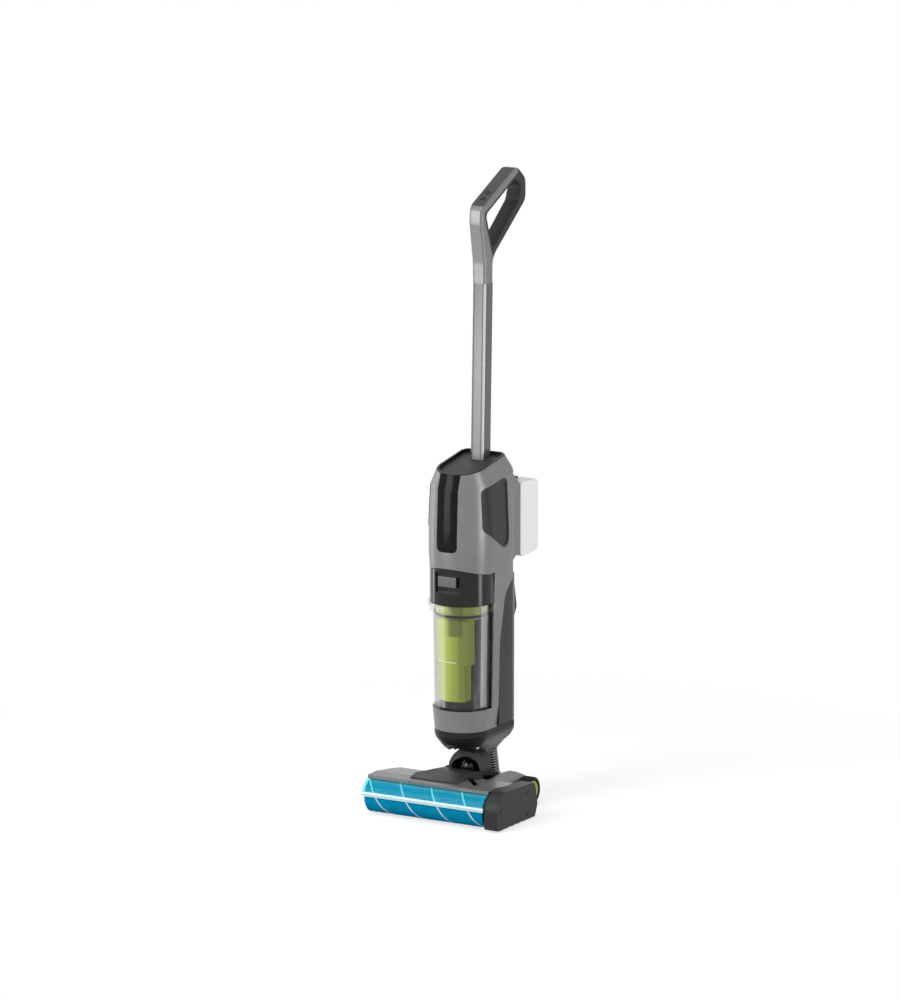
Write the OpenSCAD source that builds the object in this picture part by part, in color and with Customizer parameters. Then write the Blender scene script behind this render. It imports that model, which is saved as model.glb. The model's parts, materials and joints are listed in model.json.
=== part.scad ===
// Wet and dry floor scrubber: an upright floor washer with a powered roller head,
// a tilting and swivelling neck, two water tanks, a battery and a looped handle.
// Millimetres, +Z up, the front faces -Y. The origin is on the floor, under the
// middle of the machine.

/* [Head] */
// Overall width of the cleaning head
head_width = 270; // [268:1:272]
// Radius of the roller with its sleeve on
roller_radius = 32.5; // [31.5:0.5:32.5]
// Thickness of the microfibre sleeve
sleeve_thickness = 7; // [6:0.5:8]
// Radius of the two rear wheels
wheel_radius = 25; // [24:0.5:25.5]
// Width of each rear wheel
wheel_width = 20; // [19:1:22]

/* [Neck] */
// Outer radius of the neck's arch
arch_radius = 34; // [33:0.5:34.5]
// Radius of the spindle that the body swivels on
spindle_radius = 6; // [5.5:0.5:6.5]
// Radius of the two tilt pins
tilt_pin_radius = 4; // [3.5:0.5:4.5]

/* [Body] */
// Wall thickness of the mouldings
wall = 2.6; // [2.4:0.1:2.7]
// Radius of the dirty-water tank at its top
tank_radius = 52; // [51:0.5:52]
// Depth of the battery pack from the dock's face
battery_depth = 62; // [54:1:64]

/* [Pole and handle] */
// Width of the pole from side to side
pole_width = 27; // [25:1:27]
// Depth of the pole from front to back
pole_depth = 28; // [26:1:29]
// Width of the handle from side to side
handle_width = 27; // [26:1:28]

/* [Hidden] */
$fn = 72;

// Colours
silver = "#8f9294";
charcoal = "#3a3b3d";
black = "#1d1e20";
steel = "#b9bcc0";
lime = "#a9b832";
smoke = "#55585c";
clear = "#cfe3e8";
blue = "#1f93bd";

// Clearances
running_gap = 0.05;
gap = 0.5;

// Head
head_left = -head_width / 2;
head_right = head_width / 2;
cap_width = 26;
plate_thickness = 2.4;
roller_left = head_left + plate_thickness + 0.6;
roller_right = head_right - cap_width - 3.6;
drive_wall_x = head_right - cap_width;
roller_y = -121;
roller_z = roller_radius;
core_radius = roller_radius - sleeve_thickness;
shaft_radius = 5;
roller_pulley_radius = 16;
motor_pulley_radius = 7;
belt_thickness = 2;
belt_x = drive_wall_x + 8;
belt_width = 9;
brush_motor_y = -60;
brush_motor_z = 29;
chamber_radius = 36.5;
chamber_wall = 3;
window_inner = 33.7;
window_outer = 36;
window_edge_y = -138;
window_low_z = 35;
base_low_z = 3;
seam_z = 20;
rear_half_width = 66.5;
rear_y = 83;
neck_opening = 43;
wheel_y = 56;
wheel_inner_x = rear_half_width + 1.5;
tyre_depth = 7;
hub_radius = wheel_radius - tyre_depth;
axle_radius = 4;
port_y = 64;
port_radius = 15;
duct_top_z = 25;
port_top_z = 47;

// Neck
tilt_y = 41;
tilt_z = 42;
swivel_z = 74;
arch_front_y = -28;
arch_rear_y = 4;
arch_base_z = 64;
cap_rear_y = -18.5;
arm_inner_x = 24;
arm_outer_x = 32;
ear_inner_x = 32.6;
ear_outer_x = 40;
lug_front_y = arch_rear_y + gap;
lug_rear_y = 34;
lug_radius = 16;
hose_radius = 14;
hose_top = [53, 98];

// Body
nose_y = -36;
body_low_z = 150;
band_top_z = 188;
tank_y = -38;
tank_low_z = 189;
tank_top_z = 362;
lid_low_z = 376;
ceiling_z = 441;
ceiling_radius = 142;
bay_front_y = -27;
housing_rear_y = 50;
seam_y = 8;
top_front = [-75, 608];
top_tilt = 9.3;
crease_front = [-92, 579];
crease_tilt = 8.6;
shoulder_half_width = 56.5;
shoulder_taper = 0.48;
shoulder_height = 50;
shoulder_depth = 60;
shoulder_corner = [28, 124];
housing_corner_radius = 25;
housing_half_width = 60.5;
motor_y = -34;
dock_rear_y = 93;
battery_half_width = 40;
spine_radius = tank_radius + 1.3;
lever_half_width = 26;
lever_pin = [80, 329];
FILLER = [-22, 55.5];

// Outer body as half-width against height, from the neck to the top panel
BODY = [
    [50, body_low_z], [53.5, band_top_z], [56.5, 380], [58, 430], [60, 465],
    [60, 500], [58, 545], [56.5, 575], [56.5, 640]
];

HOUSING_SCREW_X = [-26, 26];
HOUSING_SCREW_Z = 597;
CONE_SCREW = [33, 118];
CONE_SCREW_FACE = -46.5;

// Lower cone as half-width against height
CONE = [
    [14, 86], [19, 99], [28, 110.5], [35, 117], [41.5, 125], [48, 134], [50, 140], [50, body_low_z]
];

// Pole and handle
pole_base = [22.4, 636];
pole_lean = 1.5;
pole_top = 288;
spigot_length = 26;
STRIP_START = [9, 1059.5];
strip_tilt = 25.2;
POWER_ALONG = 24;
MODE_ALONG = 42;

function unit(v) = v / norm(v);

// A corner between two edges, rounded to a radius
function corner_points(before, here, after, radius, steps) =
    let (
        u = unit(before - here),
        v = unit(after - here),
        half = acos(u * v) / 2,
        centre = here + unit(u + v) * radius / sin(half),
        start = here + u * radius / tan(half) - centre,
        end = here + v * radius / tan(half) - centre,
        from = atan2(start[1], start[0]),
        turn = atan2(start[0] * end[1] - start[1] * end[0], start * end)
    )
    [for (i = [0:steps]) centre + radius * [cos(from + turn * i / steps), sin(from + turn * i / steps)]];

function flat(p) = [p[0], p[1]];

// An outline whose corners are [x, y, radius]
function rounded_outline(corners, steps = 6) =
    let (n = len(corners))
    [for (i = [0:n - 1])
        each (corners[i][2] == 0
            ? [flat(corners[i])]
            : corner_points(flat(corners[(i + n - 1) % n]), flat(corners[i]),
                flat(corners[(i + 1) % n]), corners[i][2], steps))];

function grown(profile, by) = [for (p = profile) [p[0] + by, p[1]]];

// Draws (y, z) outlines, extruded from x_low to x_high
module along_x(x_low, x_high) {
    translate([x_low, 0, 0]) rotate([90, 0, 90]) linear_extrude(x_high - x_low) children();
}

// Draws (x, z) outlines, extruded from y_low to y_high
module along_y(y_low, y_high) {
    translate([0, y_high, 0]) rotate([90, 0, 0]) linear_extrude(y_high - y_low) children();
}

module rod_x(x_low, x_high, y, z, radius) {
    translate([x_low, y, z]) rotate([0, 90, 0]) cylinder(r = radius, h = x_high - x_low);
}

module rod_y(y_low, y_high, x, z, radius) {
    translate([x, y_high, z]) rotate([90, 0, 0]) cylinder(r = radius, h = y_high - y_low);
}

module block(low, high) {
    translate(low) cube(high - low);
}

module both_sides() {
    children();
    mirror([1, 0, 0]) children();
}

// ---- Head ----

module base_plan(inset) {
    translate([head_left + plate_thickness + inset, -84 + inset])
        square([drive_wall_x - head_left - plate_thickness - 2 * inset, 64 - 2 * inset]);
    translate([-rear_half_width + inset, -40])
        square([2 * (rear_half_width - inset), rear_y + 40 - inset]);
}

module chamber_arc(radius) {
    rod_x(head_left + plate_thickness, drive_wall_x, roller_y, roller_z, radius);
}

module head_base() {
    color(charcoal) difference() {
        union() {
            translate([0, 0, base_low_z]) linear_extrude(wall) base_plan(0);
            translate([0, 0, base_low_z]) linear_extrude(seam_z - base_low_z) difference() {
                base_plan(0);
                base_plan(wall);
            }
            // Roller chamber's curved rear wall
            intersection() {
                difference() {
                    chamber_arc(chamber_radius + chamber_wall);
                    chamber_arc(chamber_radius);
                }
                block([head_left, -110, 6], [head_right, -70, 60]);
            }
            // Wall between the roller and the drive
            along_x(drive_wall_x, drive_wall_x + 3) polygon(cap_outline(wall + 0.2));
            both_sides() hinge_ear();
            both_sides() axle_boss();
        }
        rod_x(drive_wall_x - 1, head_right, roller_y, roller_z, shaft_radius + running_gap);
        rod_x(drive_wall_x - 4, head_right, brush_motor_y, brush_motor_z, 3);
        both_sides() rod_x(ear_inner_x - 1, ear_outer_x + 1, tilt_y, tilt_z, tilt_pin_radius);
        both_sides() rod_x(40, rear_half_width + 4, wheel_y, wheel_radius, axle_radius);
        // Suction mouth into the duct
        block([-22, -95, 10], [22, -79, 22]);
        // Screw holes in the underside
        for (x = [-100, 90], y = [-70, -34]) translate([x, y, 0]) cylinder(r = 1.6, h = 10);
    }
}

module hinge_ear() {
    rod_x(ear_inner_x, ear_outer_x, tilt_y, tilt_z, 9);
    block([ear_inner_x, tilt_y - 9, base_low_z], [ear_outer_x, tilt_y + 9, tilt_z]);
}

module axle_boss() {
    inner_face = rear_half_width - wall - 0.2;
    rod_x(44, inner_face, wheel_y, wheel_radius, 9);
    block([44, wheel_y - 6, base_low_z], [inner_face, wheel_y + 6, wheel_radius]);
}

// Side outline of the top cover's wide part; inset moves it inwards
function cover_outline(inset) = rounded_outline([
    [window_edge_y + inset, 6, 0],
    [window_edge_y + inset, 69 - inset, 0],
    [-110, 70 - inset, 30],
    [-56, 63 - inset, 40],
    [-20 - inset / 2, 57 - inset, 10],
    [-14 - inset, 6, 0]
]);

function rear_outline(inset) = rounded_outline([
    [-40, 6, 0],
    [-40, 56 - inset, 0],
    [20, 60 - inset, 60],
    [52, 58 - inset, 20],
    [rear_y - inset, 37 - inset, 14],
    [rear_y - inset, 6, 0]
]);

function crown_outline(inset) = rounded_outline([
    [-rear_half_width + inset, 6, 0],
    [-rear_half_width + inset, 50 - inset, 8],
    [-46 + inset, 60 - inset, 12],
    [46 - inset, 60 - inset, 12],
    [rear_half_width - inset, 50 - inset, 8],
    [rear_half_width - inset, 6, 0]
]);

module cover_solid(inset) {
    along_x(head_left + plate_thickness + 0.2 - inset, drive_wall_x - 0.2 + inset)
        polygon(cover_outline(inset));
    intersection() {
        along_x(-rear_half_width, rear_half_width) polygon(rear_outline(inset));
        along_y(-60, rear_y) polygon(crown_outline(inset));
    }
}

module head_top_cover() {
    color(silver) difference() {
        cover_solid(0);
        cover_solid(wall);
        // The roller turns under the front edge
        rod_x(head_left, drive_wall_x + 1, roller_y, roller_z, window_inner + 0.8);
        block([head_left - 1, -200, -1], [head_right + 1, 200, seam_z + 0.3]);
        // Open front and chamber behind it
        block([head_left - 1, -200, seam_z], [head_right + 1, roller_y + chamber_radius + 6, 62]);
        // Opening for the neck and the hose
        block([-neck_opening, -29, 10], [neck_opening, 80, 90]);
        // Notches for the wheel axles
        rod_x(-wheel_inner_x, wheel_inner_x, wheel_y, wheel_radius, axle_radius + 0.3);
        block([-wheel_inner_x, wheel_y - axle_radius - 0.3, 10],
            [wheel_inner_x, wheel_y + axle_radius + 0.3, wheel_radius]);
        // Pocket for the window latch, and the finger recesses beside it
        block([-22.5, window_edge_y - 1, 64.3], [22.5, -126.5, 80]);
        block([-50, window_edge_y - 1, 64], [-25, window_edge_y + 1.2, 67.6]);
        block([25, window_edge_y - 1, 64], [52, window_edge_y + 1.2, 67.6]);
        // Slot beside the centre cover
        translate([0, 0, 40]) linear_extrude(60) polygon([[19, -56], [27, -49], [75, -106], [69, -119]]);
    }
}

module centre_cover() {
    color(charcoal) difference() {
        intersection() {
            along_x(-70, 70) polygon(rounded_outline([
                [-124, 60, 0], [-124, 71.5, 0], [-66, 75, 20], [-33, 73, 5], [-33, 60, 0]
            ]));
            linear_extrude(90) polygon([
                [-56, -124], [40, -124], [32, -90], [26, -66], [36, -33],
                [-38, -33], [-46, -70], [-61, -94]
            ]);
        }
        // It lies on the silver cover
        along_x(-80, 80) polygon(cover_outline(-0.1));
        along_x(-80, 80) polygon(rear_outline(-0.1));
        block([-neck_opening, -32, 10], [neck_opening, 80, 90]);
    }
}

module left_end_plate() {
    color(charcoal) difference() {
        union() {
            along_x(head_left, head_left + plate_thickness) polygon(rounded_outline([
                [-146, 8, 24], [-147, 60, 26], [-56, 58, 20], [-18, 52, 10], [-16, 6, 6]
            ]));
            rod_x(head_left, head_left + 9, roller_y, roller_z, shaft_radius);
        }
        // Clear of the window's end
        difference() {
            rod_x(head_left - 1, head_left + 3, roller_y, roller_z, 40);
            rod_x(head_left - 2, head_left + 4, roller_y, roller_z, 28.5);
            block([head_left - 2, -118, -1], [head_left + 4, 0, 80]);
            block([head_left - 2, -170, -1], [head_left + 4, 0, 20]);
        }
    }
}

// Side outline of the right end cap
function cap_outline(inset) = rounded_outline([
    [-151 + inset, 3 + inset, 6],
    [-153 + inset, 69 - inset, 34 - inset],
    [-20 - inset, 64 - inset, 8],
    [-11 - inset, 24, 6],
    [-20 - inset, 3 + inset, 4]
]);

CAP_SCREWS = [[-48.5, 52], [-140, 36], [-48.5, 12]];

module right_end_cap() {
    color(charcoal) difference() {
        along_x(drive_wall_x, head_right) polygon(cap_outline(0));
        along_x(drive_wall_x - 1, head_right - wall) polygon(cap_outline(wall));
        for (s = CAP_SCREWS) rod_x(head_right - 5, head_right + 1, s[0], s[1], 3);
        // Grip notches underneath
        for (y = [-110, -90, -70]) block([head_right - 4, y, 0], [head_right + 1, y + 6, 4]);
    }
}

module head_screws() {
    color(black) {
        for (s = CAP_SCREWS) rod_x(head_right - wall, head_right - 0.8, s[0], s[1], 2.9);
        for (x = [-100, 90], y = [-70, -34]) translate([x, y, base_low_z + 0.2]) cylinder(r = 1.5, h = 8);
    }
}

module scraper_bar() {
    color(black) translate([0, roller_y, roller_z]) rotate([36, 0, 0])
        block([roller_left, roller_radius + 0.4, -1.5], [roller_right, chamber_radius - 0.3, 1.5]);
}

module squeegee_blade() {
    color(black) block([head_left + 8, -86.6, 0.6], [drive_wall_x - 6, -84, 9.8]);
}

module water_bar() {
    color(black) difference() {
        block([-96, -84, 50], [90, -76, 56]);
        for (x = [-80:32:80]) rod_y(-85, -78, x, 53, 1);
    }
}

module suction_duct() {
    color(smoke) difference() {
        union() {
            block([-21.5, -79, base_low_z + wall], [21.5, 78, duct_top_z]);
            translate([0, port_y, duct_top_z - 1]) cylinder(r = port_radius, h = port_top_z - duct_top_z + 1);
        }
        block([-19.5, -80, base_low_z + wall + 2], [19.5, 76, duct_top_z - 2]);
        translate([0, port_y, 12]) cylinder(r = port_radius - 3, h = 60);
    }
}

module brush_motor() {
    color(steel) {
        rod_x(44, drive_wall_x - wall - 0.2, brush_motor_y, brush_motor_z, 16);
        rod_x(38, 44, brush_motor_y, brush_motor_z, 6);
    }
}

// Belt centre distance and its straight runs
module belt_outline(extra) {
    hull() {
        translate([roller_y, roller_z]) circle(r = roller_pulley_radius + extra);
        translate([brush_motor_y, brush_motor_z]) circle(r = motor_pulley_radius + extra);
    }
}

module drive_belt() {
    color(black) along_x(belt_x + 1, belt_x + belt_width - 1) difference() {
        belt_outline(belt_thickness + 0.3);
        belt_outline(0.3);
    }
}

module wheel_axles() {
    color(steel) both_sides() {
        rod_x(45, wheel_inner_x + wheel_width - 3, wheel_y, wheel_radius, axle_radius);
    }
}

module tilt_pins() {
    color(steel) both_sides() rod_x(arm_inner_x, ear_outer_x, tilt_y, tilt_z, tilt_pin_radius);
}

// ---- Window and its latch ----

module roller_window() {
    color(clear, 0.4) difference() {
        union() {
            rod_x(head_left + 0.2, drive_wall_x - 0.4, roller_y, roller_z, window_outer);
            // Lower rim
            rod_x(head_left + 0.2, drive_wall_x - 0.4, roller_y - window_outer + 1, window_low_z + 3, 2);
        }
        rod_x(head_left + plate_thickness, drive_wall_x, roller_y, roller_z, window_inner);
        rod_x(head_left - 1, head_right, roller_y, roller_z, 29.5);
        block([head_left - 1, -200, -5], [head_right, 0, window_low_z]);
        block([head_left - 1, window_edge_y - 0.3, -5], [head_right, 0, 90]);
    }
}

module window_latch() {
    color(silver) block([-22, window_edge_y + 0.3, 64.5], [22, -129, 69.4]);
}

// ---- Roller and drive ----

module roller_core() {
    color(charcoal) {
        difference() {
            rod_x(roller_left, roller_right, roller_y, roller_z, core_radius - 0.05);
            rod_x(roller_left + 12, roller_right - 6, roller_y, roller_z, core_radius - 3);
            rod_x(roller_left - 1, roller_left + 13, roller_y, roller_z, shaft_radius + running_gap);
        }
        rod_x(roller_right - 1, belt_x + belt_width, roller_y, roller_z, shaft_radius);
    }
}

module roller_sleeve() {
    color(blue) difference() {
        rod_x(roller_left + 0.4, roller_right - 0.4, roller_y, roller_z, roller_radius);
        rod_x(roller_left - 1, roller_right + 1, roller_y, roller_z, core_radius);
    }
}

module pulley(y, z, radius, bore) {
    difference() {
        union() {
            rod_x(belt_x, belt_x + belt_width, y, z, radius);
            rod_x(belt_x, belt_x + 0.9, y, z, radius + 2.5);
            rod_x(belt_x + belt_width - 0.9, belt_x + belt_width, y, z, radius + 2.5);
        }
        rod_x(belt_x - 1, belt_x + belt_width + 1, y, z, bore);
    }
}

module roller_pulley() {
    color(steel) pulley(roller_y, roller_z, roller_pulley_radius, shaft_radius);
}

module motor_pulley() {
    color(steel) {
        pulley(brush_motor_y, brush_motor_z, motor_pulley_radius, 2.5);
        rod_x(drive_wall_x + 0.2, belt_x + belt_width, brush_motor_y, brush_motor_z, 2.5);
    }
}

// ---- Rear wheels ----

module tyre() {
    difference() {
        rod_x(wheel_inner_x, wheel_inner_x + wheel_width, wheel_y, wheel_radius, wheel_radius);
        rod_x(wheel_inner_x - 1, wheel_inner_x + wheel_width + 1, wheel_y, wheel_radius, hub_radius);
    }
}

module hub() {
    difference() {
        rod_x(wheel_inner_x, wheel_inner_x + wheel_width - 1, wheel_y, wheel_radius, hub_radius);
        rod_x(wheel_inner_x - 1, wheel_inner_x + wheel_width - 2.5, wheel_y, wheel_radius,
            axle_radius + running_gap);
        rod_x(wheel_inner_x + wheel_width - 3, wheel_inner_x + wheel_width, wheel_y, wheel_radius, 12);
    }
}

module right_tyre() {
    color(black) tyre();
}

module right_hub() {
    color(lime) hub();
}

module left_tyre() {
    color(black) mirror([1, 0, 0]) tyre();
}

module left_hub() {
    color(lime) mirror([1, 0, 0]) hub();
}

// ---- Neck ----

module neck_arm() {
    difference() {
        union() {
            rod_x(arm_inner_x, arm_outer_x, tilt_y, tilt_z, 9);
            along_x(arm_inner_x, arm_outer_x) polygon([
                [-18, 62], [-18, 68], [5, 68], [tilt_y + 2, tilt_z + 9], [tilt_y + 6, tilt_z],
                [tilt_y - 6, tilt_z - 7], [4, 59]
            ]);
        }
        rod_x(arm_inner_x - 1, arm_outer_x + 1, tilt_y, tilt_z, tilt_pin_radius + running_gap);
    }
}

module neck_yoke() {
    color(charcoal) difference() {
        union() {
            intersection() {
                rod_y(arch_front_y, arch_rear_y, 0, swivel_z, arch_radius);
                along_x(-60, 60) polygon([
                    [arch_front_y + 8, 120], [arch_front_y + 8, 100], [arch_front_y, 80],
                    [arch_front_y, arch_base_z], [arch_rear_y, arch_base_z], [arch_rear_y, 120]
                ]);
            }
            both_sides() neck_arm();
        }
        along_y(arch_front_y - 1, -6) polygon(rounded_outline([
            [-28, 40, 0], [-28, 82, 14], [0, 97, 30], [28, 82, 14], [28, 40, 0]
        ]));
        rod_y(-10, arch_rear_y + 1, 0, swivel_z, spindle_radius);
    }
}

module swivel_spindle() {
    color(steel) {
        rod_y(-10, lug_rear_y + 0.4, 0, swivel_z, spindle_radius);
        rod_y(lug_rear_y + 0.3, lug_rear_y + 3.5, 0, swivel_z, 10);
    }
}

module pivot_cap() {
    color(charcoal) {
        translate([0, cap_rear_y, swivel_z]) rotate([90, 0, 0]) difference() {
            translate([0, 0, -5]) sphere(r = 16);
            translate([-20, -20, -40]) cube([40, 40, 40]);
        }
        rod_y(cap_rear_y - 0.5, -10.2, 0, swivel_z, 11);
    }
}

// The hose leans forward from the head's port to the lower cone
module suction_hose() {
    lean = atan2(port_y - hose_top[0], hose_top[1] - port_top_z);
    color(smoke) difference() {
        translate([0, port_y, port_top_z]) rotate([lean, 0, 0]) difference() {
            translate([0, 0, -6]) cylinder(r = hose_radius, h = 58);
            translate([0, 0, -7]) cylinder(r = hose_radius - 2, h = 60);
        }
        block([-20, 0, 0], [20, 100, port_top_z + 0.1]);
    }
}

// ---- Body shells ----

// Capsule-shaped solid: a turned nose at the front and straight flanks behind it
module body_solid(profile, back_y) {
    last = len(profile) - 1;
    outline = concat([[0, profile[0][1]]], profile, [[0, profile[last][1]]]);
    mirrored = [for (i = [last:-1:0]) [-profile[i][0], profile[i][1]]];
    translate([0, nose_y, 0]) rotate_extrude() polygon(outline);
    along_y(nose_y, back_y) polygon(concat(profile, mirrored));
}

module rear_corners(back_y, radius, half_width) {
    linear_extrude(700) polygon(rounded_outline([
        [-half_width, -120, 0], [half_width, -120, 0],
        [half_width, back_y, radius], [-half_width, back_y, radius]
    ]));
}

module outer_body(by) {
    intersection() {
        body_solid(grown(BODY, by), housing_rear_y + by);
        rear_corners(housing_rear_y + by, housing_corner_radius + by, housing_half_width + by);
        // Crease plane, with the shoulder over it
        translate([0, crease_front[0], crease_front[1]]) rotate([crease_tilt, 0, 0]) {
            block([-120, -120, -700], [120, 300, -40]);
            shoulder(by);
        }
    }
}

// Frustum whose sides lean in from the crease towards the top panel
module shoulder(by) {
    low = shoulder_half_width + by + shoulder_taper * shoulder_depth;
    high = low - shoulder_taper * (shoulder_depth + shoulder_height);
    nose = nose_y - crease_front[0];
    side = shoulder_corner[0];
    rear = shoulder_corner[1];
    height = shoulder_depth + shoulder_height;
    translate([0, 0, -shoulder_depth]) {
        translate([0, nose, 0]) cylinder(r1 = low, r2 = high, h = height);
        along_y(nose, rear) polygon([[-low, 0], [low, 0], [high, height], [-high, height]]);
        both_sides() translate([side, rear, 0]) cylinder(r1 = low - side, r2 = high - side, h = height);
        along_x(-side, side) polygon([
            [nose, 0], [rear + low - side, 0], [rear + high - side, height], [nose, height]
        ]);
    }
}

module above_top(offset) {
    translate([0, top_front[0], top_front[1] + offset]) rotate([top_tilt, 0, 0])
        block([-100, -80, 0], [100, 220, 120]);
}

// Tank bay's arched ceiling
module under_ceiling(offset) {
    rod_y(-160, 160, 0, ceiling_z - ceiling_radius, ceiling_radius + offset);
}

// Outline of the silver frame's rear edge, which the clean tank follows
function frame_edge(offset) = rounded_outline([
    [-120, body_low_z - 20, 0], [-9 + offset, body_low_z - 20, 0],
    [-6 + offset, 158, 0], [-5 + offset, 300, 90], [11 + offset, 384, 50],
    [44 + offset, 414, 0], [housing_rear_y + 40, 414, 0],
    [housing_rear_y + 40, 700, 0], [-120, 700, 0]
]);

function grille_outline(by) = rounded_outline([
    [-62 - by, 508 - by, 14], [16 + by, 459 - by, 12], [16 + by, 591 + by, 10], [-62 - by, 580 + by, 10]
]);

module grille_pads(out, depth, by) {
    intersection() {
        difference() {
            outer_body(out);
            outer_body(-depth);
        }
        union() {
            along_x(20, 80) polygon(grille_outline(by));
            along_x(-80, -20) polygon(grille_outline(by));
        }
    }
}

module strip_pad(out, depth, by) {
    intersection() {
        difference() {
            outer_body(out);
            outer_body(-depth);
        }
        along_y(-120, -50) polygon(rounded_outline([
            [-20 - by, 471 - by, 9], [20 + by, 471 - by, 9], [20 + by, 640, 0], [-20 - by, 640, 0]
        ]));
    }
}

module housing_pockets() {
    above_top(-1.6);
    grille_pads(3, 1.1, 0.1);
    strip_pad(3, 1.1, 0.1);
}

module main_frame() {
    color(silver) difference() {
        intersection() {
            outer_body(0);
            along_x(-80, 80) polygon(frame_edge(0));
            block([-80, -120, body_low_z], [80, seam_y + 0.01, 700]);
        }
        difference() {
            outer_body(-wall);
            // Bulkhead above the tank bay
            difference() {
                block([-80, -120, 400], [80, 60, ceiling_z + 5]);
                under_ceiling(0.6);
            }
        }
        // Tank bay, open to the front
        intersection() {
            under_ceiling(0.6);
            block([-80, -120, band_top_z], [80, bay_front_y, 470]);
        }
        translate([0, motor_y, 400]) cylinder(r = 22, h = 80);
        housing_pockets();
    }
}

module rear_housing() {
    color(silver) difference() {
        intersection() {
            outer_body(0);
            along_x(-80, 80) polygon(frame_edge(0));
            block([-80, seam_y + 0.05, 370], [80, 100, 700]);
        }
        // Room over the clean tank, between the two side ears
        block([-50, 0, 360], [50, 100, 414.6]);
        intersection() {
            outer_body(-wall);
            block([-80, 0, 418], [80, 100, 700]);
        }
        housing_pockets();
        // Passage into the battery dock
        block([-22, 40, 478], [22, 60, 528]);
        // Back of the tank bay
        translate([0, tank_y, 370]) cylinder(r = spine_radius + 2.7, h = 60);
        for (x = HOUSING_SCREW_X) rod_y(40, 60, x, HOUSING_SCREW_Z, 2.6);
    }
}

module inner_spine() {
    color(black) intersection() {
        difference() {
            translate([0, tank_y, 0]) cylinder(r = spine_radius + 2.6, h = 700);
            translate([0, tank_y, -1]) cylinder(r = spine_radius, h = 702);
        }
        block([-60, bay_front_y, band_top_z - 36], [60, 60, ceiling_z]);
        body_solid(grown(BODY, -wall - 0.1), housing_rear_y);
        under_ceiling(0.4);
    }
}

module lower_cone() {
    color(black) difference() {
        cone_shape(0);
        // Hollow under its deck
        intersection() {
            cone_shape(3);
            block([-60, -100, 118], [60, 70, body_low_z - 3]);
        }
        translate([0, 44, 120]) cylinder(r = 10, h = 40);
        rod_y(CONE_SCREW_FACE - 40, CONE_SCREW_FACE + 6, CONE_SCREW[0], CONE_SCREW[1], 2.6);
        // Room for the neck's arch, wider in front of it
        rod_y(-120, lug_front_y, 0, swivel_z, arch_radius + 2.5);
        rod_y(-120, arch_front_y, 0, swivel_z, arch_radius + 6.5);
        // Room for the hose behind the lug
        rod_y(lug_rear_y, 120, 0, swivel_z, 29.5);
        rod_y(-120, 120, 0, swivel_z, spindle_radius + running_gap);
    }
}

module cone_shape(inset) {
    intersection() {
        union() {
            body_solid(grown(CONE, -inset), 62 - inset);
            rod_y(lug_front_y, lug_rear_y, 0, swivel_z, lug_radius - inset);
            block([-lug_radius + inset, lug_front_y, swivel_z], [lug_radius - inset, lug_rear_y, 100]);
        }
        rear_corners(62 - inset, 30, 60);
        along_x(-80, 80) polygon(rounded_outline([
            [-100, 200, 0], [-100, 136 + inset, 0], [-78, 125 + inset, 16], [-38, 104 + inset, 10],
            [0, 98, 0], [lug_front_y, 96, 0], [lug_front_y, 40, 0], [lug_rear_y, 40, 0], [lug_rear_y, 88, 0],
            [50 - inset, 94 + inset, 8], [62 - inset, 124, 20], [62 - inset, 200, 0]
        ]));
    }
}

module top_panel() {
    color(charcoal) difference() {
        union() {
            top_slice(wall + 0.1, -10.5, -1.4);
            // Flange on the shell's edge
            top_slice(0.7, -1.5, 0);
        }
        // Sunk floor
        top_slice(wall + 1.8, -5.6, 10);
        pole_shape(0.1, -60, pole_top);
        strip_pad(3, 1.2, 0.2);
    }
}

// Slice of the body between two heights over the top panel's plane
module top_slice(inset, low, high) {
    intersection() {
        outer_body(-inset);
        translate([0, top_front[0], top_front[1] + low]) rotate([top_tilt, 0, 0])
            block([-100, -80, 0], [100, 220, high - low]);
    }
}

module front_strip() {
    color(black) difference() {
        strip_pad(0.7, 1, 0);
        above_top(0);
    }
}

module side_grilles() {
    color(charcoal) difference() {
        grille_pads(1.4, 1, 0);
        // Sunk field inside a raised border
        grille_pads(3, 0.2, -3.5);
    }
}

module battery_dock() {
    color(silver) difference() {
        along_x(-battery_half_width, battery_half_width) polygon(dock_outline(0));
        along_x(-battery_half_width + 3, battery_half_width - 3) polygon(dock_outline(3));
        block([-20, 80, 480], [20, 100, 526]);
        block([-22, 40, 478], [22, 60, 528]);
    }
    // Contact blades
    color(steel) for (x = [-10, 0, 10]) block([x - 1, 54, 490], [x + 1, 58, 516]);
    color(silver) block([-14, 50.6, 486], [14, 54, 520]);
}

function dock_outline(inset) = rounded_outline([
    [housing_rear_y + 0.1 + inset, 424 + inset, 0],
    [68, 430 + inset, 10],
    [dock_rear_y - inset, 447 + inset, 8 - inset / 2],
    [dock_rear_y - inset, 561 - inset, 8 - inset / 2],
    [70, 583 - inset, 14],
    [housing_rear_y + 0.1 + inset, 588 - inset, 0]
]);

module suction_motor() {
    color(steel) translate([0, motor_y, 0]) difference() {
        union() {
            translate([0, 0, 476]) cylinder(r = 34, h = 62);
            translate([0, 0, 538]) cylinder(r = 12, h = 10);
            // Feet that stand on the bulkhead
            for (a = [45:90:315]) rotate([0, 0, a]) block([28, -4, ceiling_z + 5.2], [34, 4, 477]);
        }
        translate([0, 0, 470]) cylinder(r = 3 + running_gap, h = 30);
    }
}

module motor_fan() {
    color(smoke) translate([0, motor_y, 0]) {
        cylinder_at(450, 3, 26);
        cylinder_at(466, 2, 26);
        cylinder_at(450, 45, 3);
        for (a = [0:40:320]) rotate([0, 0, a]) block([8, -0.8, 452], [25, 0.8, 467]);
    }
}

module cylinder_at(z, height, radius) {
    translate([0, 0, z]) cylinder(r = radius, h = height);
}

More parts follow.
